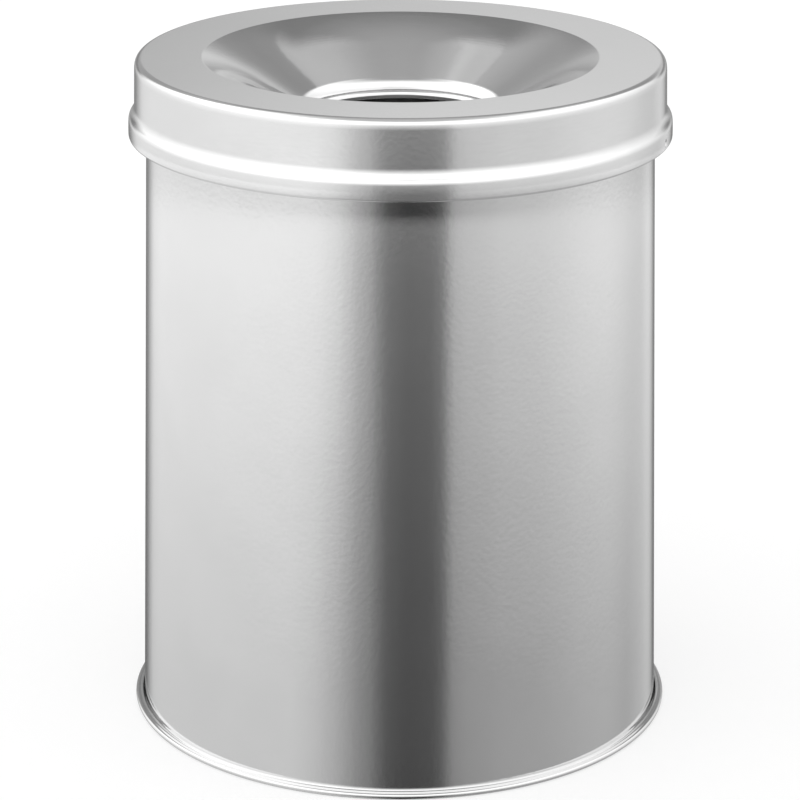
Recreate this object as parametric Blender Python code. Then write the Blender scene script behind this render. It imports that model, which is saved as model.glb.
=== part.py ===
"""Round self-extinguishing waste bin in stainless sheet.

A rolled body with a wired top rim stands on a pressed base pan. A push-on lid with a funnel and
a lipped throat ring lifts straight off it. The origin is on the floor at the middle of the bin,
with +Z up. Lengths are metres.
"""

from math import asin, cos, pi, radians, sin, sqrt, tan

import bmesh
import bpy
from mathutils import Matrix, Vector

# Driving dimensions
TOTAL_HEIGHT = 0.323
BODY_RADIUS = 0.130
BODY_SHEET = 0.0007
LID_SHEET = 0.0008
GAP = 0.0003

# Rolled top rim of the body
CURL_RADIUS = 0.0033
CURL_SWEEP = radians(290)

# Foot of the body and hem of the base pan
RIM_RADIUS = 0.1343
FOOT_FILLET = 0.0014
FLANGE_EDGE_BACK = 0.00125
HEM_OVERLAP = 0.00075
PAN_HEIGHT = 0.0090
PAN_CORNER = 0.0030
PAN_FOOT_BEND = 0.0012
PANEL_RADIUS = 0.098
PANEL_RISE = 0.0015
PANEL_SLOPE_WIDTH = 0.0030

# Lid, with depths measured down from its flat top
SKIRT_RADIUS = 0.1362
LID_DEPTH = 0.0386
LID_EDGE_RADIUS = 0.0036
BEAD_RADIUS = 0.1390
BEAD_START_DEPTH = 0.0235
BEAD_HOLLOW_RADIUS = 0.0070
BEAD_CROWN_RADIUS = 0.0040
HEM_BEND_RADIUS = 0.0006
HEM_UPSTAND = 0.0007

# Funnel
MOUTH_RADIUS = 0.1022
MOUTH_BEND_RADIUS = 0.0030
MOUTH_BEND_TILT = radians(17)
SHOULDER_BEND_RADIUS = 0.110
FUNNEL_TILT = radians(31.8)
COLLAR_RADIUS = 0.0084
COLLAR_END_TILT = radians(80)
NECK_RADIUS = 0.05145

# Throat ring
THROAT_RADIUS = 0.0500
THROAT_LIP_RADIUS = 0.0025
THROAT_SHEET = 0.0007
THROAT_FLANGE_RADIUS = 0.0545
THROAT_DROP = 0.0032

# Retaining dimples in the lid's bead
DIMPLE_AZIMUTHS = (radians(-17), radians(163))
DIMPLE_DEPTH = 0.0012
DIMPLE_RADIUS = 0.0023
DIMPLE_DROP = 0.0349

# Facets
SEGMENTS = 48
ARC_STEP = radians(45)
FINE_STEP = radians(33)
BEND_STEP = radians(18)
WIRE_SIDES = 8
SMOOTH_ANGLE = radians(35)
WELD_DISTANCE = 1e-7


def clear_scene():
    for obj in list(bpy.data.objects):
        bpy.data.objects.remove(obj)


def steel(name, tone, roughness):
    """A metallic material of one grey tone."""
    material = bpy.data.materials.new(name)
    material.use_nodes = True
    shader = material.node_tree.nodes["Principled BSDF"]
    shader.inputs["Base Color"].default_value = (tone, tone, tone, 1)
    shader.inputs["Metallic"].default_value = 1
    shader.inputs["Roughness"].default_value = roughness
    return material


def arc(centre, radius, start, end, step=ARC_STEP):
    """Points of an arc from angle start to angle end, with angle 0 along +X and pi/2 along +Z."""
    count = max(2, round(abs(end - start) / step) + 1)
    angles = [start + (end - start) * i / (count - 1) for i in range(count)]
    return [(centre[0] + radius * cos(a), centre[1] + radius * sin(a)) for a in angles]


def offset(path, distance):
    """The path moved to its left by the distance, with mitred corners."""
    points = [Vector(p) for p in path]
    moved = []
    for i, point in enumerate(points):
        before = (point - points[i - 1]).normalized() if i else None
        after = (points[i + 1] - point).normalized() if i < len(points) - 1 else before
        before = before or after
        left = [Vector((-d.y, d.x)) for d in (before, after)]
        mitre = (left[0] + left[1]).normalized()
        moved.append(tuple(point + mitre * (distance / mitre.dot(left[0]))))
    return moved


def sheet(path, thickness):
    """The closed outline of a sheet, from the path of its middle line."""
    return offset(path, thickness / 2) + offset(path, -thickness / 2)[::-1]


def turned(name, outline, material):
    """An object made by turning a closed outline of (radius, height) points about Z."""
    mesh = bpy.data.meshes.new(name)
    shape = bmesh.new()
    ring = [shape.verts.new((radius, 0, height)) for radius, height in outline]
    edges = [shape.edges.new((ring[i - 1], ring[i])) for i in range(len(ring))]
    bmesh.ops.spin(
        shape,
        geom=ring + edges,
        cent=(0, 0, 0),
        axis=(0, 0, 1),
        angle=2 * pi,
        steps=SEGMENTS,
        use_merge=True,
    )
    bmesh.ops.remove_doubles(shape, verts=shape.verts, dist=WELD_DISTANCE)
    bmesh.ops.dissolve_degenerate(shape, dist=WELD_DISTANCE, edges=shape.edges)
    bmesh.ops.recalc_face_normals(shape, faces=shape.faces)
    shape.to_mesh(mesh)
    shape.free()
    mesh.materials.append(material)
    mesh.shade_smooth()
    mesh.set_sharp_from_angle(angle=SMOOTH_ANGLE)
    obj = bpy.data.objects.new(name, mesh)
    bpy.context.scene.collection.objects.link(obj)
    return obj


def rim_centre():
    """Where the middle of the rolled rim lies when the lid's bead rests on it, one gap apart."""
    radius = BODY_RADIUS - BODY_SHEET / 2 + CURL_RADIUS
    hollow_radius = SKIRT_RADIUS + BEAD_HOLLOW_RADIUS
    reach = CURL_RADIUS + BODY_SHEET / 2 + GAP + LID_SHEET + BEAD_HOLLOW_RADIUS
    below = sqrt(reach**2 - (hollow_radius - radius) ** 2)
    return radius, TOTAL_HEIGHT - BEAD_START_DEPTH - below


def foot_layers():
    """Heights of the middle of the base pan's floor layer, the body's flange and the hem's top."""
    return [BODY_SHEET / 2 + i * (BODY_SHEET + GAP) for i in range(3)]


def make_body_wall():
    """The rolled sheet: a flange at the foot, the straight wall and the rolled rim."""
    middle = BODY_RADIUS - BODY_SHEET / 2
    flange_height = foot_layers()[1]
    foot_centre = (middle + FOOT_FILLET, flange_height + FOOT_FILLET)
    path = [(RIM_RADIUS - FLANGE_EDGE_BACK, flange_height)]
    path += arc(foot_centre, FOOT_FILLET, -pi / 2, -pi)
    path += arc(rim_centre(), CURL_RADIUS, pi, pi - CURL_SWEEP, FINE_STEP)
    return turned("body_wall", sheet(path, BODY_SHEET), steel("body_steel", 0.62, 0.28))


def make_rim_wire():
    """The round wire that the rim is rolled over."""
    radius = CURL_RADIUS - BODY_SHEET / 2 - GAP
    outline = arc(rim_centre(), radius, 0, 2 * pi, 2 * pi / WIRE_SIDES)[:-1]
    return turned("rim_wire", outline, steel("wire_steel", 0.45, 0.45))


def make_base_pan():
    """The recessed floor, its skirt inside the wall and the hem folded over the body's flange."""
    floor_layer, _, hem_layer = foot_layers()
    hem_bend = (hem_layer - floor_layer) / 2
    hem_centre = (RIM_RADIUS - BODY_SHEET / 2 - hem_bend, floor_layer + hem_bend)
    skirt = BODY_RADIUS - BODY_SHEET - GAP - BODY_SHEET / 2
    corner = (skirt - PAN_CORNER, PAN_HEIGHT - PAN_CORNER)
    foot = (skirt + PAN_FOOT_BEND, floor_layer + PAN_FOOT_BEND)
    panel = PAN_HEIGHT + PANEL_RISE
    path = [(0, panel), (PANEL_RADIUS, panel), (PANEL_RADIUS + PANEL_SLOPE_WIDTH, PAN_HEIGHT)]
    path += arc(corner, PAN_CORNER, pi / 2, 0)
    path += arc(foot, PAN_FOOT_BEND, pi, 3 * pi / 2)
    path += arc(hem_centre, hem_bend, -pi / 2, pi / 2)
    path += [(hem_centre[0] - HEM_OVERLAP, hem_layer)]
    return turned("base_pan", sheet(path, BODY_SHEET), steel("base_steel", 0.60, 0.30))


def neck_end_depth():
    """Depth at which the funnel's collar ends, almost upright."""
    bend = MOUTH_BEND_RADIUS
    shoulder = SHOULDER_BEND_RADIUS
    depth = bend * (1 - cos(MOUTH_BEND_TILT))
    depth += shoulder * (cos(MOUTH_BEND_TILT) - cos(FUNNEL_TILT))
    wall_top = MOUTH_RADIUS - bend * sin(MOUTH_BEND_TILT)
    wall_top -= shoulder * (sin(FUNNEL_TILT) - sin(MOUTH_BEND_TILT))
    wall_end = NECK_RADIUS + COLLAR_RADIUS * (sin(COLLAR_END_TILT) - sin(FUNNEL_TILT))
    depth += (wall_top - wall_end) * tan(FUNNEL_TILT)
    return depth + COLLAR_RADIUS * (cos(FUNNEL_TILT) - cos(COLLAR_END_TILT))


def funnel_face():
    """The upper face of the funnel, from the end of the collar up to the flat top."""
    up = pi / 2
    mouth_centre = (MOUTH_RADIUS, TOTAL_HEIGHT - MOUTH_BEND_RADIUS)
    drift = MOUTH_BEND_RADIUS - SHOULDER_BEND_RADIUS
    shoulder_centre = (
        mouth_centre[0] - drift * sin(MOUTH_BEND_TILT),
        mouth_centre[1] + drift * cos(MOUTH_BEND_TILT),
    )
    collar_centre = (
        NECK_RADIUS + COLLAR_RADIUS * sin(COLLAR_END_TILT),
        TOTAL_HEIGHT - neck_end_depth() - COLLAR_RADIUS * cos(COLLAR_END_TILT),
    )
    face = arc(collar_centre, COLLAR_RADIUS, up + COLLAR_END_TILT, up + FUNNEL_TILT, BEND_STEP)
    face += arc(shoulder_centre, SHOULDER_BEND_RADIUS, up + FUNNEL_TILT, up + MOUTH_BEND_TILT)
    face += arc(mouth_centre, MOUTH_BEND_RADIUS, up + MOUTH_BEND_TILT, up)[1:]
    return face


def skirt_face():
    """The outer face of the lid, from its flat top down to the start of its hem."""
    edge_radius = LID_EDGE_RADIUS
    crown_and_hollow = BEAD_HOLLOW_RADIUS + BEAD_CROWN_RADIUS
    lean = asin(sqrt(1 - (1 - (BEAD_RADIUS - SKIRT_RADIUS) / crown_and_hollow) ** 2))
    bead_start = TOTAL_HEIGHT - BEAD_START_DEPTH
    bead_full = bead_start - crown_and_hollow * sin(lean)
    hollow_centre = (SKIRT_RADIUS + BEAD_HOLLOW_RADIUS, bead_start)
    crown_centre = (BEAD_RADIUS - BEAD_CROWN_RADIUS, bead_full)
    face = arc((SKIRT_RADIUS - edge_radius, TOTAL_HEIGHT - edge_radius), edge_radius, pi / 2, 0)
    face += arc(hollow_centre, BEAD_HOLLOW_RADIUS, pi, pi + lean, BEND_STEP)
    face += arc(crown_centre, BEAD_CROWN_RADIUS, lean, 0, BEND_STEP)[1:]
    return face


def make_lid_cap():
    """The pressed lid: funnel, flat top, skirt and bead in one sheet, hemmed at the bottom."""
    face = offset(funnel_face() + skirt_face(), -LID_SHEET / 2)
    bead_middle = BEAD_RADIUS - LID_SHEET / 2
    hem_height = TOTAL_HEIGHT - LID_DEPTH + HEM_BEND_RADIUS + LID_SHEET / 2
    hem = arc((bead_middle - HEM_BEND_RADIUS, hem_height), HEM_BEND_RADIUS, 0, -pi)
    hem += [(bead_middle - 2 * HEM_BEND_RADIUS, hem_height + HEM_UPSTAND)]
    lid = turned("lid_cap", sheet(face + hem, LID_SHEET), steel("lid_steel", 0.64, 0.26))
    for number, azimuth in enumerate(DIMPLE_AZIMUTHS, 1):
        press_dimple(lid, number, azimuth)
    return lid


def helper_ball(name, radius, place, cut_at=None):
    """A hidden ball, or the part of it that lies inwards of the distance cut_at from its middle."""
    mesh = bpy.data.meshes.new(name)
    shape = bmesh.new()
    bmesh.ops.create_uvsphere(shape, u_segments=16, v_segments=10, radius=radius)
    if cut_at is not None:
        whole = shape.verts[:] + shape.edges[:] + shape.faces[:]
        cut = bmesh.ops.bisect_plane(
            shape, geom=whole, plane_co=(0, 0, cut_at), plane_no=(0, 0, 1), clear_outer=True
        )
        rim = [g for g in cut["geom_cut"] if isinstance(g, bmesh.types.BMEdge)]
        bmesh.ops.holes_fill(shape, edges=rim)
    bmesh.ops.recalc_face_normals(shape, faces=shape.faces)
    shape.to_mesh(mesh)
    shape.free()
    ball = bpy.data.objects.new(name, mesh)
    ball.matrix_world = place
    ball.hide_render = True
    ball.display_type = "WIRE"
    bpy.context.scene.collection.objects.link(ball)
    return ball


def press_dimple(lid, number, azimuth):
    """Dents the bead inwards: a dome is joined inside it, then a ball is cut from outside."""
    dent_radius = (DIMPLE_RADIUS**2 + DIMPLE_DEPTH**2) / (2 * DIMPLE_DEPTH)
    middle = BEAD_RADIUS - DIMPLE_DEPTH + dent_radius
    outward = Matrix.Rotation(azimuth, 4, "Z") @ Matrix.Rotation(pi / 2, 4, "Y")
    place = outward.copy()
    place.translation = outward @ Vector((0, 0, middle))
    place.translation.z = TOTAL_HEIGHT - DIMPLE_DROP
    half_sheet = BEAD_RADIUS - LID_SHEET / 2 - middle
    tools = (
        ("UNION", helper_ball(f"dimple_dome_{number}", dent_radius + LID_SHEET, place, half_sheet)),
        ("DIFFERENCE", helper_ball(f"dimple_dent_{number}", dent_radius, place)),
    )
    for operation, tool in tools:
        modifier = lid.modifiers.new(tool.name, "BOOLEAN")
        modifier.operation = operation
        modifier.solver = "EXACT"
        modifier.object = tool


def make_throat_ring():
    """The lip under the collar: a flat flange that bends down into the throat."""
    top = TOTAL_HEIGHT - neck_end_depth() - LID_SHEET * cos(COLLAR_END_TILT) - GAP
    half = THROAT_SHEET / 2
    lip_centre = (THROAT_RADIUS + THROAT_LIP_RADIUS, top - THROAT_LIP_RADIUS)
    path = [(THROAT_FLANGE_RADIUS, top - half)]
    path += arc(lip_centre, THROAT_LIP_RADIUS - half, pi / 2, pi, BEND_STEP)
    path += [(THROAT_RADIUS + half, top - THROAT_DROP)]
    return turned("throat_ring", sheet(path, THROAT_SHEET), steel("throat_steel", 0.66, 0.24))


def main():
    clear_scene()
    make_body_wall()
    make_rim_wire()
    make_base_pan()
    lid_axis = bpy.data.objects.new("lid_axis", None)
    bpy.context.scene.collection.objects.link(lid_axis)
    for piece in (make_lid_cap(), make_throat_ring()):
        piece.parent = lid_axis


main()
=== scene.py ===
"""Looks of a round self-extinguishing waste bin in bright stainless sheet, built round its CAD frame.

Every sheet part is turned again as a fine shell on the frame's own sizes. The bin stands on a pale
floor in a light tent that opens towards the camera. Lengths are metres, angles are degrees or
radians as named, and azimuth 0 is the bin's front, towards -Y, with +X at 90 degrees.
"""

from math import acos, asin, cos, pi, radians, sin, sqrt, tan

import bmesh
import bpy
from mathutils import Matrix, Vector, noise


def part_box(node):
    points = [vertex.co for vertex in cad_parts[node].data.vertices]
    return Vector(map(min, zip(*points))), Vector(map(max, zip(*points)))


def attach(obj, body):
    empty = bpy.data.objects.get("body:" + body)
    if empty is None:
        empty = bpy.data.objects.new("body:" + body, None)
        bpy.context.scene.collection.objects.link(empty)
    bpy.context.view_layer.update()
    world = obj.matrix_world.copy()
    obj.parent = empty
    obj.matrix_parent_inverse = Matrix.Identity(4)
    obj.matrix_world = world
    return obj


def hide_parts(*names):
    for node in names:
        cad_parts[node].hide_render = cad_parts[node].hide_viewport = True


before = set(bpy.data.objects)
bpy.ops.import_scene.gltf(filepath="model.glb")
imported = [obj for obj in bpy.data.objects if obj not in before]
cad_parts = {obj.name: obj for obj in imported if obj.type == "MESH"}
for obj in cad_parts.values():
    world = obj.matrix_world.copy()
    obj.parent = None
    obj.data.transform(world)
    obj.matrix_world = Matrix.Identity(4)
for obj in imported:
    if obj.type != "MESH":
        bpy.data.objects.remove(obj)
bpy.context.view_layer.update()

# Sizes read from the frame
TOTAL_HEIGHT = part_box("lid_cap")[1].z
LID_DEPTH = TOTAL_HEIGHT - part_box("lid_cap")[0].z
BEAD_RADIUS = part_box("lid_cap")[1].x
RIM_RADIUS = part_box("base_pan")[1].x

# Sheet
BODY_RADIUS = 0.130
BODY_SHEET = 0.0007
LID_SHEET = 0.0008
GAP = 0.0003

# Rolled top rim of the body
CURL_RADIUS = 0.0033
CURL_SWEEP = radians(290)

# Foot of the body, and the base pan, whose hem climbs the foot's fillet by the angle given
FOOT_FILLET = 0.0026
FLANGE_EDGE_BACK = 0.00125
HEM_CLIMB = radians(42)
PAN_HEIGHT = 0.0090
PAN_CORNER = 0.0030
PAN_FOOT_BEND = 0.0012
PANEL_RADIUS = 0.098
PANEL_RISE = 0.0015
PANEL_SLOPE_WIDTH = 0.0030

# Lid, with depths measured down from its flat top
SKIRT_RADIUS = 0.1362
LID_EDGE_RADIUS = 0.0036
LID_EDGE_TAIL_RADIUS = 0.013
LID_EDGE_TAIL_TILT = radians(9)
BEAD_START_DEPTH = 0.0235
BEAD_HOLLOW_RADIUS = 0.0070
BEAD_CROWN_RADIUS = 0.0040
BEAD_FACE_RADIUS = 0.075
BEAD_FACE_TILT = radians(2.6)
HEM_BEND_RADIUS = 0.0006
HEM_UPSTAND = 0.0007

# Funnel
MOUTH_RADIUS = 0.1022
MOUTH_BEND_RADIUS = 0.0030
MOUTH_BEND_TILT = radians(17)
SHOULDER_BEND_RADIUS = 0.110
FUNNEL_TILT = radians(31.8)
COLLAR_RADIUS = 0.0084
COLLAR_END_TILT = radians(80)
NECK_RADIUS = 0.05145

# Throat ring
THROAT_RADIUS = 0.0500
THROAT_LIP_RADIUS = 0.0025
THROAT_SHEET = 0.0007
THROAT_FLANGE_RADIUS = 0.0545
THROAT_DROP = 0.0036

# Retaining dimples in the lid's bead
DIMPLE_AZIMUTHS = (radians(-17), radians(163))
DIMPLE_DEPTH = 0.0012
DIMPLE_RADIUS = 0.0023
DIMPLE_DROP = 0.0349

# Welded seam up the back of the body
SEAM_AZIMUTH = radians(90)
SEAM_WIDTH = 0.0032
SEAM_DEPTH = 0.00012

# Faint waves of the rolled wall, which fade out at its foot and top
WAVE_HEIGHT = 0.00005
WAVES_AROUND = 3
WAVES_UP = 9
WAVE_FOOT = 0.012
WAVE_TOP = 0.285
WAVE_FADE = 0.02

# Fineness of the shells
SEGMENTS = 288
FINE_SEGMENT = radians(0.16)
DIMPLE_FINE_REACH = radians(1.6)
SEAM_FINE_REACH = radians(1.1)
ARC_STEP = radians(7.5)
BEND_STEP = radians(4)
WIDE_ARC_STEP = radians(1.0)
SUPPORT = 0.00030
LONGEST_ROW = 0.010
WIRE_SIDES = 24
SMOOTH_ANGLE = radians(40)
HEM_STEP = radians(15)
EDGE_SIDES = 8

# Steel finish: noise scales are per metre, and each span is the part of the noise that is used
STEEL = 0.78
METALLIC = 0.97
TONE_SPREAD = 0.012
SMUDGE_SCALE = 22
SMUDGE_SPAN = (0.3, 0.7)
SMUDGE_GLOSS_SPAN = (0.35, 0.75)
SMUDGE_GLOSS = (0.06, 0.09)
GRAIN_SCALE = 1500
GRAIN_SPAN = (0.2, 0.8)
GRAIN_TONE = (0.985, 1.01)
GRAIN_GLOSS = (-0.01, 0.01)
GRAIN_HEIGHT = 0.10
RINGED_GRAIN_RADIUS = 0.012
UPRIGHT_GRAIN_STRETCH = 0.10
PEEL_SCALE = 420
PEEL_DEPTH = 0.00002
SEAM_TONE = 0.86

# Drawn wire
WIRE_LINE_SCALE = 900
WIRE_LINE_DEPTH = 0.00004
WIRE_TONE = (0.30, 0.42)
WIRE_GLOSS = (0.34, 0.46)

# Camera: the film stays upright, so the bin's sides stay parallel in the picture
CAMERA_DISTANCE = 1.7953
CAMERA_HEIGHT = 0.7317
CAMERA_SIDE = -0.0012
CAMERA_PITCH = radians(18.07)
CAMERA_ROLL = radians(-0.12)
FOCAL_LENGTH = 157.7
SENSOR_WIDTH = 36
CLIP_END = 100

# Studio
FLOOR_SIZE = 24.0
FLOOR_TONE = 0.52
FLOOR_MOTTLE = 0.004
FLOOR_MOTTLE_SCALE = 6
FLOOR_GLOW = 0.50
WHITE = (1, 1, 1, 1)
ROOM_LIGHT = 1.0
DISPLAY_GAMMA = 2.2
BRIGHTEST = 1.6
KEY_PLACE = Vector((0, -0.40, 0.62))
KEY_AIM = Vector((0, 0, 0.20))
KEY_SIZE = (0.30, 0.12)
KEY_POWER = 18.0

# Walls of the tent below eye level, as the steel shows them: azimuth in degrees, brightness
LOW_WALL = (
    (-180, 0.51), (-161, 0.51), (-149, 0.81), (-138, 0.89), (-97, 0.89), (-49, 0.87),
    (-35, 0.84), (-26, 0.765), (-20, 0.655), (-12, 0.50), (-7, 0.31), (0, 0.17), (9, 0.15),
    (15, 0.23), (19, 0.37), (23, 0.58), (28, 0.645), (43, 0.705), (70, 0.765), (104, 0.84),
    (136, 0.78), (150, 0.815), (158, 0.69), (163, 0.51), (180, 0.51),
)

# They darken downwards between two elevations, by one share on the left and behind and another
# on the right, which meet between two pairs of azimuths
FALL_ELEVATIONS = (-22.1, -15.5)
LEFT_FALL = 0.31
RIGHT_FALL = 0.47
FALL_FRONT_AZIMUTHS = (-50, -20)
FALL_BACK_AZIMUTHS = (120, 140)

# Their top edge is darker by a share, between two elevations
WALL_TOP = (-15.3, -14.5)
WALL_TOP_SHARE = 0.85

# Ceiling at the front, to which the walls brighten as they rise: azimuth in degrees, brightness
HIGH_FRONT = ((-180, 1.13), (0, 1.13), (95, 1.04), (180, 1.0))
FRONT_RISE = (-16, 48)
FRONT_END = (40, 82)

# Edges of the walls behind the bin: degrees from the back, wider by a share of the elevation
BACK_EDGE = (26, 42)
BACK_EDGE_SPREAD = 0.25
BACK_FOOT = (-10, 4)

# Walls above eye level behind the bin: elevation in degrees, brightness
BACK_RANGE = (-10, 90)
BACK_MIDDLE = (
    (-10, 0.47), (3, 0.55), (8, 0.66), (12.5, 0.69), (15, 0.645), (22, 0.45), (30, 0.36),
    (46, 0.34), (50, 0.375), (56, 0.41), (62, 0.45), (70, 0.485), (78, 0.505), (90, 0.55),
)
BACK_RIGHT = (
    (-10, 0.52), (0, 0.53), (5, 0.465), (8, 0.50), (11, 0.645), (14, 0.655), (18, 0.56),
    (22, 0.475), (28, 0.43), (34, 0.425), (40, 0.46), (41.2, 0.60), (58, 0.605), (64, 0.57),
    (72, 0.51), (90, 0.50),
)
BACK_LEFT = (
    (-10, 0.43), (3, 0.425), (7, 0.47), (11, 0.535), (18, 0.51), (26, 0.483), (33, 0.505),
    (44, 0.56), (47, 0.575), (48.2, 0.635), (56, 0.64), (61, 0.67), (64, 0.61), (68, 0.56),
    (78, 0.51), (90, 0.50),
)

# The middle wall is darker on its left and brighter on its right, but not high up
BACK_SLANT = (0.84, 1.20)
SLANT_REACH = 5
SLANT_ELEVATIONS = (20, 40)

# The middle wall passes into the side walls over some degrees, which start further out high up
SIDE_BLEND = 15
SIDE_SHIFT = 21
SIDE_SHIFT_ELEVATIONS = (30, 50)


def arc(centre, radius, start, end, step=ARC_STEP):
    """Points of an arc from angle start to angle end, with angle 0 along +X and pi/2 along +Z."""
    count = max(2, round(abs(end - start) / step) + 1)
    angles = [start + (end - start) * i / (count - 1) for i in range(count)]
    return [(centre[0] + radius * cos(a), centre[1] + radius * sin(a)) for a in angles]


def without_repeats(path):
    """The path without points that lie on the one before."""
    kept = [path[0]]
    for point in path[1:]:
        if (Vector(point) - Vector(kept[-1])).length > GAP / 100:
            kept.append(point)
    return kept


def supported(path):
    """The path with points close to both ends of each straight run, and rows along a long one."""
    path = without_repeats(path)
    points = [path[0]]
    for start, end in zip(path, path[1:]):
        start = Vector(start)
        run = Vector(end) - start
        if run.length > 4 * SUPPORT:
            rows = max(1, round((run.length - 2 * SUPPORT) / LONGEST_ROW))
            reach = run.length - 2 * SUPPORT
            stations = [SUPPORT + reach * i / rows for i in range(rows + 1)]
            points += [tuple(start + run.normalized() * s) for s in stations]
        points.append(tuple(end))
    return points


def offset(path, distance):
    """The path moved to its left by the distance, with mitred corners."""
    points = [Vector(p) for p in path]
    moved = []
    for i, point in enumerate(points):
        before = (point - points[i - 1]).normalized() if i else None
        after = (points[i + 1] - point).normalized() if i < len(points) - 1 else before
        before = before or after
        left = [Vector((-d.y, d.x)) for d in (before, after)]
        mitre = (left[0] + left[1]).normalized()
        moved.append(tuple(point + mitre * (distance / mitre.dot(left[0]))))
    return moved


def round_end(path, thickness):
    """Points round the end of a sheet, from its left face to its right face."""
    last = Vector(path[-1])
    along = (last - Vector(path[-2])).normalized()
    left = Vector((-along.y, along.x))
    half = thickness / 2
    turns = [pi * i / EDGE_SIDES for i in range(1, EDGE_SIDES)]
    return [tuple(last + (left * cos(a) + along * sin(a)) * half) for a in turns]


def sheet(path, thickness):
    """The closed outline of a sheet with rounded edges, from the path of its middle line."""
    path = supported(path)
    outline = offset(path, thickness / 2)
    if path[-1][0] > 0:
        outline += round_end(path, thickness)
    outline += offset(path, -thickness / 2)[::-1]
    if path[0][0] > 0:
        outline += round_end(path[::-1], thickness)
    return outline


def around(fine_azimuths=(), reach=0.0):
    """Angles round the axis, closer together beside each of the given azimuths."""
    step = 2 * pi / SEGMENTS
    angles = [i * step for i in range(SEGMENTS)]
    for azimuth in fine_azimuths:
        angles = [a for a in angles if abs((a - azimuth + pi) % (2 * pi) - pi) > reach]
        count = round(2 * reach / FINE_SEGMENT)
        angles += [(azimuth - reach + 2 * reach * i / count) % (2 * pi) for i in range(count + 1)]
    return sorted(angles)


def turned(name, outline, angles, shape_point=None):
    """An object made by turning a closed outline of (radius, height) points about Z."""
    shape = bmesh.new()
    rings = []
    for radius, height in outline:
        spots = []
        for angle in angles if radius > GAP else angles[:1]:
            point = Vector((radius * cos(angle), radius * sin(angle), height))
            spots.append(shape.verts.new(shape_point(point) if shape_point else point))
        rings.append(spots)
    count = len(angles)
    for low, high in zip(rings, rings[1:] + rings[:1]):
        if len(low) == len(high) == 1:
            continue
        for i in range(count):
            corners = [low[i % len(low)], low[(i + 1) % count % len(low)]]
            corners += [high[(i + 1) % count % len(high)], high[i % len(high)]]
            shape.faces.new(list(dict.fromkeys(corners)))
    bmesh.ops.recalc_face_normals(shape, faces=shape.faces)
    mesh = bpy.data.meshes.new(name)
    shape.to_mesh(mesh)
    shape.free()
    mesh.shade_smooth()
    mesh.set_sharp_from_angle(angle=SMOOTH_ANGLE)
    obj = bpy.data.objects.new(name, mesh)
    bpy.context.scene.collection.objects.link(obj)
    return obj


def rim_centre():
    """Where the middle of the rolled rim lies when the lid's bead rests on it, one gap apart."""
    radius = BODY_RADIUS - BODY_SHEET / 2 + CURL_RADIUS
    hollow_radius = SKIRT_RADIUS + BEAD_HOLLOW_RADIUS
    reach = CURL_RADIUS + BODY_SHEET / 2 + GAP + LID_SHEET + BEAD_HOLLOW_RADIUS
    below = sqrt(reach**2 - (hollow_radius - radius) ** 2)
    return radius, TOTAL_HEIGHT - BEAD_START_DEPTH - below


def foot_layers():
    """Heights of the middle of the base pan's floor layer, the body's flange and the hem's top."""
    return [BODY_SHEET / 2 + i * (BODY_SHEET + GAP) for i in range(3)]


def body_path():
    """Middle line of the body: the flange at the foot, the straight wall and the rolled rim."""
    middle = BODY_RADIUS - BODY_SHEET / 2
    flange_height = foot_layers()[1]
    foot_centre = (middle + FOOT_FILLET, flange_height + FOOT_FILLET)
    path = [(RIM_RADIUS - FLANGE_EDGE_BACK, flange_height)]
    path += arc(foot_centre, FOOT_FILLET, -pi / 2, -pi)
    path += arc(rim_centre(), CURL_RADIUS, pi, pi - CURL_SWEEP)
    return path


def body_point(point):
    """The seam at the back, and the faint waves of a rolled sheet, as moves along the radius."""
    radius = point.xy.length
    outward = Vector((point.x, point.y, 0)) / radius
    from_seam = radius * acos(min(1, outward.y))
    seam = -SEAM_DEPTH * max(0, 1 - (2 * from_seam / SEAM_WIDTH) ** 2) ** 2
    above_foot = (point.z - WAVE_FOOT) / WAVE_FADE
    below_top = (WAVE_TOP - point.z) / WAVE_FADE
    in_wall = min(1, max(0, above_foot), max(0, below_top))
    place = (outward.x * WAVES_AROUND, outward.y * WAVES_AROUND, point.z * WAVES_UP)
    wave = noise.noise(Vector(place)) * WAVE_HEIGHT
    return point + outward * (seam + wave) * in_wall


def make_body():
    body = turned(
        "body_shell",
        sheet(body_path(), BODY_SHEET),
        around([SEAM_AZIMUTH], SEAM_FINE_REACH),
        body_point,
    )
    body.data.materials.append(steel("body_finish", seam=True))
    return placed(body, "bin", "body_wall")


def make_rim_wire():
    """The round wire inside the rolled rim."""
    radius = CURL_RADIUS - BODY_SHEET / 2 - GAP
    outline = arc(rim_centre(), radius, 0, 2 * pi, 2 * pi / WIRE_SIDES)[:-1]
    wire = turned("rim_wire_ring", outline, around())
    wire.data.materials.append(drawn_wire())
    return placed(wire, "bin", "rim_wire")


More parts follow.
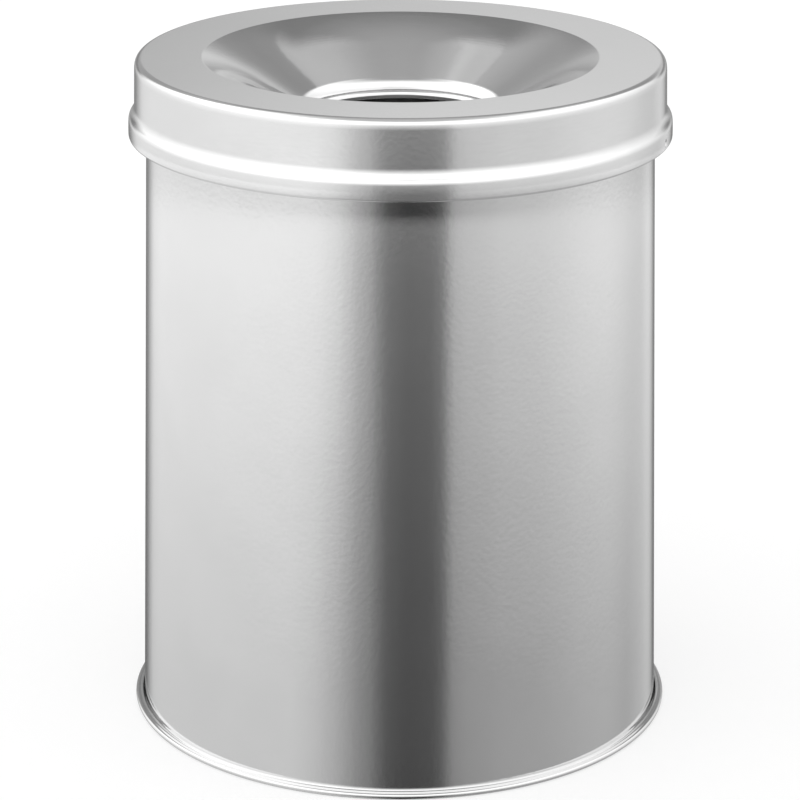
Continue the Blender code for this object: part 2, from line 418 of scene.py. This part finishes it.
def make_base():
    """The recessed floor, its skirt inside the wall and the hem folded over the body's flange."""
    floor_layer, flange_layer, hem_layer = foot_layers()
    hem_bend = (hem_layer - floor_layer) / 2
    hem_centre = (RIM_RADIUS - BODY_SHEET / 2 - hem_bend, floor_layer + hem_bend)
    skirt = BODY_RADIUS - BODY_SHEET - GAP - BODY_SHEET / 2
    corner = (skirt - PAN_CORNER, PAN_HEIGHT - PAN_CORNER)
    foot = (skirt + PAN_FOOT_BEND, floor_layer + PAN_FOOT_BEND)
    panel = PAN_HEIGHT + PANEL_RISE
    path = [(0, panel), (PANEL_RADIUS, panel), (PANEL_RADIUS + PANEL_SLOPE_WIDTH, PAN_HEIGHT)]
    path += arc(corner, PAN_CORNER, pi / 2, 0)
    path += arc(foot, PAN_FOOT_BEND, pi, 3 * pi / 2)
    path += arc(hem_centre, hem_bend, -pi / 2, pi / 2)
    fillet_centre = (BODY_RADIUS - BODY_SHEET / 2 + FOOT_FILLET, flange_layer + FOOT_FILLET)
    climb_radius = FOOT_FILLET - (hem_layer - flange_layer)
    path += arc(fillet_centre, climb_radius, -pi / 2, -pi / 2 - HEM_CLIMB)
    base = turned("base_shell", sheet(path, BODY_SHEET), around())
    base.data.materials.append(steel("base_finish", ringed=True))
    return placed(base, "bin", "base_pan")


def neck_end_depth():
    """Depth at which the funnel's collar ends, almost upright."""
    bend = MOUTH_BEND_RADIUS
    shoulder = SHOULDER_BEND_RADIUS
    depth = bend * (1 - cos(MOUTH_BEND_TILT))
    depth += shoulder * (cos(MOUTH_BEND_TILT) - cos(FUNNEL_TILT))
    wall_top = MOUTH_RADIUS - bend * sin(MOUTH_BEND_TILT)
    wall_top -= shoulder * (sin(FUNNEL_TILT) - sin(MOUTH_BEND_TILT))
    wall_end = NECK_RADIUS + COLLAR_RADIUS * (sin(COLLAR_END_TILT) - sin(FUNNEL_TILT))
    depth += (wall_top - wall_end) * tan(FUNNEL_TILT)
    return depth + COLLAR_RADIUS * (cos(FUNNEL_TILT) - cos(COLLAR_END_TILT))


def funnel_face():
    """The upper face of the funnel, from the end of the collar up to the flat top."""
    up = pi / 2
    mouth_centre = (MOUTH_RADIUS, TOTAL_HEIGHT - MOUTH_BEND_RADIUS)
    drift = MOUTH_BEND_RADIUS - SHOULDER_BEND_RADIUS
    shoulder_centre = (
        mouth_centre[0] - drift * sin(MOUTH_BEND_TILT),
        mouth_centre[1] + drift * cos(MOUTH_BEND_TILT),
    )
    collar_centre = (
        NECK_RADIUS + COLLAR_RADIUS * sin(COLLAR_END_TILT),
        TOTAL_HEIGHT - neck_end_depth() - COLLAR_RADIUS * cos(COLLAR_END_TILT),
    )
    tilt = up + FUNNEL_TILT
    face = arc(collar_centre, COLLAR_RADIUS, up + COLLAR_END_TILT, tilt, BEND_STEP)
    face += arc(shoulder_centre, SHOULDER_BEND_RADIUS, tilt, up + MOUTH_BEND_TILT, WIDE_ARC_STEP)
    face += arc(mouth_centre, MOUTH_BEND_RADIUS, up + MOUTH_BEND_TILT, up, BEND_STEP)
    return face


def skirt_face():
    """The outer face of the lid, from its flat top down to the full width of its bead."""
    tail = LID_EDGE_TAIL_TILT
    tail_centre = (SKIRT_RADIUS - LID_EDGE_TAIL_RADIUS, 0)
    inset = (LID_EDGE_TAIL_RADIUS - LID_EDGE_RADIUS) * cos(tail)
    edge_centre = (tail_centre[0] + inset, TOTAL_HEIGHT - LID_EDGE_RADIUS)
    drop = (LID_EDGE_TAIL_RADIUS - LID_EDGE_RADIUS) * sin(tail)
    tail_centre = (tail_centre[0], edge_centre[1] - drop)
    crown_and_hollow = BEAD_HOLLOW_RADIUS + BEAD_CROWN_RADIUS
    lean = asin(sqrt(1 - (1 - (BEAD_RADIUS - SKIRT_RADIUS) / crown_and_hollow) ** 2))
    bead_start = TOTAL_HEIGHT - BEAD_START_DEPTH
    bead_full = bead_start - crown_and_hollow * sin(lean)
    hollow_centre = (SKIRT_RADIUS + BEAD_HOLLOW_RADIUS, bead_start)
    crown_centre = (BEAD_RADIUS - BEAD_CROWN_RADIUS, bead_full)
    face = arc(edge_centre, LID_EDGE_RADIUS, pi / 2, tail, BEND_STEP)
    face += arc(tail_centre, LID_EDGE_TAIL_RADIUS, tail, 0, WIDE_ARC_STEP)
    face += arc(hollow_centre, BEAD_HOLLOW_RADIUS, pi, pi + lean, BEND_STEP)
    face += arc(crown_centre, BEAD_CROWN_RADIUS, lean, BEAD_FACE_TILT, BEND_STEP)
    return face


def bead_face(start, end_height):
    """The slightly barrelled outer face of the bead, from its crown down to its hem, in fine rows."""
    centre = (
        start[0] - BEAD_FACE_RADIUS * cos(BEAD_FACE_TILT),
        start[1] - BEAD_FACE_RADIUS * sin(BEAD_FACE_TILT),
    )
    end = asin((end_height - centre[1]) / BEAD_FACE_RADIUS)
    return arc(centre, BEAD_FACE_RADIUS, BEAD_FACE_TILT, end, GAP / BEAD_FACE_RADIUS)[1:]


def dented(point):
    """A point of the lid, moved inwards where a retaining dimple is pressed into the bead."""
    if abs(point.z - (TOTAL_HEIGHT - DIMPLE_DROP)) > DIMPLE_RADIUS:
        return point
    if point.xy.length < SKIRT_RADIUS:
        return point
    for azimuth in DIMPLE_AZIMUTHS:
        outward = Vector((cos(azimuth), sin(azimuth), 0))
        middle = outward * BEAD_RADIUS + Vector((0, 0, TOTAL_HEIGHT - DIMPLE_DROP))
        away = point - middle
        away -= outward * away.dot(outward)
        share = away.length / DIMPLE_RADIUS
        if share < 1:
            return point - outward * DIMPLE_DEPTH * (1 - share**2) ** 1.5
    return point


def make_lid():
    """The pressed lid: funnel, flat top, skirt and bead in one sheet, hemmed at the bottom."""
    face = offset(supported(funnel_face() + skirt_face()), -LID_SHEET / 2)
    hem_height = TOTAL_HEIGHT - LID_DEPTH + HEM_BEND_RADIUS + LID_SHEET / 2
    bead = bead_face(face[-1], hem_height)
    hem_centre = (bead[-1][0] - HEM_BEND_RADIUS, hem_height)
    hem = arc(hem_centre, HEM_BEND_RADIUS, 0, -pi, HEM_STEP)
    hem += [(hem[-1][0], hem_height + HEM_UPSTAND)]
    lid = turned(
        "lid_shell",
        sheet(face + bead + hem, LID_SHEET),
        around(DIMPLE_AZIMUTHS, DIMPLE_FINE_REACH),
        dented,
    )
    lid.data.materials.append(steel("lid_finish", ringed=True))
    return placed(lid, "lid", "lid_cap")


def make_throat():
    """The lip under the collar: a flat flange that bends down into the throat."""
    top = TOTAL_HEIGHT - neck_end_depth() - LID_SHEET * cos(COLLAR_END_TILT) - GAP
    half = THROAT_SHEET / 2
    lip_centre = (THROAT_RADIUS + THROAT_LIP_RADIUS, top - THROAT_LIP_RADIUS)
    path = [(THROAT_FLANGE_RADIUS, top - half)]
    path += arc(lip_centre, THROAT_LIP_RADIUS - half, pi / 2, pi, BEND_STEP)
    path += [(THROAT_RADIUS + half, top - THROAT_DROP)]
    throat = turned("throat_lip", sheet(path, THROAT_SHEET), around())
    throat.data.materials.append(steel("throat_finish", ringed=True))
    return placed(throat, "lid", "throat_ring")


def placed(piece, body, node):
    """Hangs a finished piece on its CAD body, in place of its CAD node."""
    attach(piece, body)
    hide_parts(node)
    return piece


class Graph:
    """Makes and links the nodes of one tree, so that a shader reads as a formula."""

    def __init__(self, tree):
        self.tree = tree

    def feed(self, socket, value):
        if isinstance(value, bpy.types.NodeSocket):
            self.tree.links.new(value, socket)
        else:
            socket.default_value = value

    def node(self, kind, inputs):
        made = self.tree.nodes.new(kind)
        for key, value in inputs.items():
            self.feed(made.inputs[key], value)
        return made

    def math(self, operation, *values):
        made = self.tree.nodes.new("ShaderNodeMath")
        made.operation = operation
        for socket, value in zip(made.inputs, values):
            self.feed(socket, value)
        return made.outputs[0]

    def step(self, value, low, high, to_low=0.0, to_high=1.0, kind="SMOOTHSTEP"):
        """to_low where value is under low, to_high where it is over high, and smooth between."""
        made = self.tree.nodes.new("ShaderNodeMapRange")
        made.interpolation_type = kind
        for socket, number in zip(made.inputs, (value, low, high, to_low, to_high)):
            self.feed(socket, number)
        return made.outputs["Result"]

    def times(self, first, second):
        return self.math("MULTIPLY", first, second)

    def mix(self, share, first, second):
        """first where share is 0, and second where it is 1."""
        made = self.tree.nodes.new("ShaderNodeMix")
        sockets = (made.inputs[0], made.inputs[2], made.inputs[3])
        for socket, value in zip(sockets, (share, first, second)):
            self.feed(socket, value)
        return made.outputs[0]

    def ramp(self, value, low, high, stops):
        """Brightness at value, from stops of (place, brightness) between low and high."""
        made = self.tree.nodes.new("ShaderNodeValToRGB")
        made.color_ramp.interpolation = "CARDINAL"
        self.feed(made.inputs[0], self.step(value, low, high, kind="LINEAR"))
        points = made.color_ramp.elements
        while len(points) < len(stops):
            points.new(0.5)
        for point, (place, brightness) in zip(points, stops):
            shown = (brightness / BRIGHTEST) ** DISPLAY_GAMMA
            point.position = (place - low) / (high - low)
            point.color = (shown, shown, shown, 1)
        grey = self.node("ShaderNodeRGBToBW", {"Color": made.outputs["Color"]}).outputs[0]
        return self.math("MULTIPLY", grey, BRIGHTEST**DISPLAY_GAMMA / STEEL)

    def noise(self, place, scale, detail=2.0, roughness=0.5):
        made = self.node("ShaderNodeTexNoise", {"Vector": place})
        made.inputs["Scale"].default_value = scale
        made.inputs["Detail"].default_value = detail
        made.inputs["Roughness"].default_value = roughness
        return made.outputs["Fac"]

    def grey(self, tone):
        """A colour with the tone in all three channels."""
        return self.node("ShaderNodeCombineColor", {0: tone, 1: tone, 2: tone}).outputs[0]

    def bump(self, height, depth):
        """A normal for a surface that rises by the depth where height goes from 0 to 1."""
        inputs = {"Height": height, "Strength": 1.0, "Distance": depth}
        return self.node("ShaderNodeBump", inputs).outputs[0]


def new_material(name):
    """A material with its graph, its main shader and the place on the object."""
    material = bpy.data.materials.new(name)
    material.use_nodes = True
    graph = Graph(material.node_tree)
    shader = material.node_tree.nodes["Principled BSDF"]
    place = graph.tree.nodes.new("ShaderNodeTexCoord").outputs["Object"]
    return material, graph, shader, place


def steel(name, ringed=False, seam=False):
    """Bright annealed stainless sheet: near mirror, with orange peel, faint grain and smudges."""
    material, graph, shader, place = new_material(name)
    x, y, z = graph.node("ShaderNodeSeparateXYZ", {"Vector": place}).outputs
    angle = graph.math("ARCTAN2", x, graph.times(y, -1))
    radius = graph.math("SQRT", graph.math("ADD", graph.times(x, x), graph.times(y, y)))
    turn = graph.times(angle, RINGED_GRAIN_RADIUS if ringed else BODY_RADIUS)
    climb = z if ringed else graph.times(z, UPRIGHT_GRAIN_STRETCH)
    grain_place = graph.node("ShaderNodeCombineXYZ", {0: turn, 1: radius, 2: climb}).outputs[0]
    grain = graph.noise(grain_place, GRAIN_SCALE, detail=3, roughness=0.6)
    peel = graph.noise(place, PEEL_SCALE, detail=1.5, roughness=0.45)
    smudge = graph.noise(place, SMUDGE_SCALE, detail=4, roughness=0.55)
    height = graph.math("ADD", peel, graph.times(grain, GRAIN_HEIGHT))
    tone = graph.step(smudge, *SMUDGE_SPAN, STEEL - TONE_SPREAD, STEEL + TONE_SPREAD)
    tone = graph.times(tone, graph.step(grain, *GRAIN_SPAN, *GRAIN_TONE))
    if seam:
        half_width = SEAM_WIDTH / 2 / BODY_RADIUS
        in_seam = graph.step(graph.math("ABSOLUTE", angle), pi - half_width, pi)
        tone = graph.times(tone, graph.step(in_seam, 0, 1, 1.0, SEAM_TONE))
    gloss = graph.step(smudge, *SMUDGE_GLOSS_SPAN, *SMUDGE_GLOSS)
    gloss = graph.math("ADD", gloss, graph.step(grain, *GRAIN_SPAN, *GRAIN_GLOSS))
    graph.feed(shader.inputs["Base Color"], graph.grey(tone))
    graph.feed(shader.inputs["Roughness"], gloss)
    graph.feed(shader.inputs["Normal"], graph.bump(height, PEEL_DEPTH))
    shader.inputs["Metallic"].default_value = METALLIC
    return material


def drawn_wire():
    """Dull drawn wire with fine lines along it."""
    material, graph, shader, place = new_material("wire_finish")
    lines = graph.noise(place, WIRE_LINE_SCALE, detail=3)
    tone = graph.step(lines, *GRAIN_SPAN, *WIRE_TONE)
    graph.feed(shader.inputs["Base Color"], graph.grey(tone))
    graph.feed(shader.inputs["Roughness"], graph.step(lines, *GRAIN_SPAN, *WIRE_GLOSS))
    graph.feed(shader.inputs["Normal"], graph.bump(lines, WIRE_LINE_DEPTH))
    shader.inputs["Metallic"].default_value = 1
    return material


def low_walls(graph, azimuth, elevation):
    """The walls below eye level, darker towards the floor and along their top edge."""
    wall = graph.ramp(azimuth, -180, 180, LOW_WALL)
    fall = graph.mix(graph.step(azimuth, *FALL_FRONT_AZIMUTHS), LEFT_FALL, RIGHT_FALL)
    fall = graph.mix(graph.step(azimuth, *FALL_BACK_AZIMUTHS), fall, LEFT_FALL)
    drop = graph.step(elevation, *FALL_ELEVATIONS, 1, 0, "LINEAR")
    wall = graph.times(wall, graph.math("SUBTRACT", 1, graph.times(drop, fall)))
    return graph.times(wall, graph.step(elevation, *WALL_TOP, 1, WALL_TOP_SHARE))


def back_walls(graph, from_back, elevation):
    """The middle, right and left walls behind the bin, which the lid mirrors."""
    middle = graph.ramp(elevation, *BACK_RANGE, BACK_MIDDLE)
    right = graph.ramp(elevation, *BACK_RANGE, BACK_RIGHT)
    left = graph.ramp(elevation, *BACK_RANGE, BACK_LEFT)
    slant = graph.step(from_back, -SLANT_REACH, SLANT_REACH, *BACK_SLANT, "LINEAR")
    slant = graph.mix(graph.step(elevation, *SLANT_ELEVATIONS), slant, 1)
    side = graph.mix(graph.step(from_back, -1, 1), left, right)
    shift = graph.step(elevation, *SIDE_SHIFT_ELEVATIONS, 0, SIDE_SHIFT)
    outside = graph.math("SUBTRACT", graph.math("ABSOLUTE", from_back), shift)
    return graph.mix(graph.step(outside, 0, SIDE_BLEND), graph.times(middle, slant), side)


def back_share(graph, from_back, elevation):
    """Where the walls behind the bin show: 1 in a sector at the back and overhead, else 0."""
    spread = graph.times(elevation, BACK_EDGE_SPREAD)
    beside = graph.math("SUBTRACT", graph.math("ABSOLUTE", from_back), spread)
    sector = graph.step(beside, *BACK_EDGE, 1.0, 0.0)
    share = graph.mix(graph.step(elevation, *FRONT_END), sector, 1)
    return graph.times(share, graph.step(elevation, *BACK_FOOT))


def make_studio():
    """The light tent round the bin, seen in the steel, and even white light elsewhere."""
    world = bpy.data.worlds.new("studio")
    bpy.context.scene.world = world
    world.use_nodes = True
    world.node_tree.nodes.clear()
    graph = Graph(world.node_tree)
    direction = graph.tree.nodes.new("ShaderNodeTexCoord").outputs["Generated"]
    x, y, z = graph.node("ShaderNodeSeparateXYZ", {"Vector": direction}).outputs
    azimuth = graph.math("DEGREES", graph.math("ARCTAN2", x, graph.times(y, -1)))
    from_back = graph.math("DEGREES", graph.math("ARCTAN2", x, y))
    elevation = graph.math("DEGREES", graph.math("ARCSINE", z))

    low = low_walls(graph, azimuth, elevation)
    front = graph.ramp(azimuth, -180, 180, HIGH_FRONT)
    rising = graph.mix(graph.step(elevation, *FRONT_RISE, kind="LINEAR"), low, front)
    back = back_walls(graph, from_back, elevation)
    pattern = graph.mix(back_share(graph, from_back, elevation), rising, back)

    steel_view = graph.node("ShaderNodeBackground", {"Color": pattern})
    room_view = graph.node("ShaderNodeBackground", {"Color": WHITE, "Strength": ROOM_LIGHT})
    path = graph.tree.nodes.new("ShaderNodeLightPath")
    plain = graph.math("MAXIMUM", path.outputs["Is Camera Ray"], path.outputs["Is Diffuse Ray"])
    shown = graph.tree.nodes.new("ShaderNodeMixShader")
    for socket, value in zip(shown.inputs, (plain, steel_view.outputs[0], room_view.outputs[0])):
        graph.feed(socket, value)
    out = graph.tree.nodes.new("ShaderNodeOutputWorld")
    graph.feed(out.inputs["Surface"], shown.outputs[0])


def make_key_light(pieces):
    """A soft box above the front, which gives the lid its soft shadow on the body."""
    data = bpy.data.lights.new("key", "AREA")
    data.shape = "RECTANGLE"
    data.size, data.size_y = KEY_SIZE
    data.energy = KEY_POWER
    key = bpy.data.objects.new("key", data)
    bpy.context.scene.collection.objects.link(key)
    key.location = KEY_PLACE
    key.rotation_euler = (KEY_AIM - KEY_PLACE).to_track_quat("-Z", "Y").to_euler()
    key.visible_glossy = False
    key.visible_camera = False
    lit = bpy.data.collections.new("lit_by_key")
    for piece in pieces:
        lit.objects.link(piece)
    key.light_linking.receiver_collection = lit


def make_floor():
    """A pale floor, which the steel doesn't mirror because the tent stands in for it there."""
    mesh = bpy.data.meshes.new("floor")
    half = FLOOR_SIZE / 2
    corners = [(-half, -half, 0), (half, -half, 0), (half, half, 0), (-half, half, 0)]
    mesh.from_pydata(corners, [], [(0, 1, 2, 3)])
    floor = bpy.data.objects.new("floor", mesh)
    bpy.context.scene.collection.objects.link(floor)
    floor.visible_glossy = False
    material, graph, shader, place = new_material("floor_finish")
    mottle = graph.noise(place, FLOOR_MOTTLE_SCALE)
    tone = graph.step(mottle, 0, 1, FLOOR_TONE - FLOOR_MOTTLE, FLOOR_TONE + FLOOR_MOTTLE)
    graph.feed(shader.inputs["Base Color"], graph.grey(tone))
    shader.inputs["Roughness"].default_value = 1
    shader.inputs["Specular IOR Level"].default_value = 0
    shader.inputs["Emission Color"].default_value = WHITE
    shader.inputs["Emission Strength"].default_value = FLOOR_GLOW
    mesh.materials.append(material)


def make_camera():
    """A camera that looks down at the bin, leaned by its parent so that the film stays upright."""
    data = bpy.data.cameras.new("camera")
    data.sensor_width = SENSOR_WIDTH
    data.lens = FOCAL_LENGTH / cos(CAMERA_PITCH)
    data.clip_end = CLIP_END
    camera = bpy.data.objects.new("camera", data)
    bpy.context.scene.collection.objects.link(camera)
    camera.location = (CAMERA_SIDE, -CAMERA_DISTANCE, CAMERA_HEIGHT)
    camera.rotation_euler = (pi / 2 - CAMERA_PITCH, CAMERA_ROLL, 0)
    bpy.context.view_layer.update()
    across, _, back = camera.matrix_world.to_3x3().col
    upright = Matrix((across, (sin(CAMERA_ROLL), 0, cos(CAMERA_ROLL)), back)).transposed()
    lean = (upright @ camera.matrix_world.to_3x3().inverted()).to_4x4()
    place = Matrix.Translation(camera.location)
    film = bpy.data.objects.new("upright_film", None)
    bpy.context.scene.collection.objects.link(film)
    camera.parent = film
    camera.matrix_parent_inverse = place @ lean @ place.inverted()
    bpy.context.scene.camera = camera
    bpy.context.scene.view_settings.view_transform = "Standard"


make_camera()
make_studio()
make_floor()
make_key_light([make_body(), make_rim_wire(), make_base(), make_lid(), make_throat()])
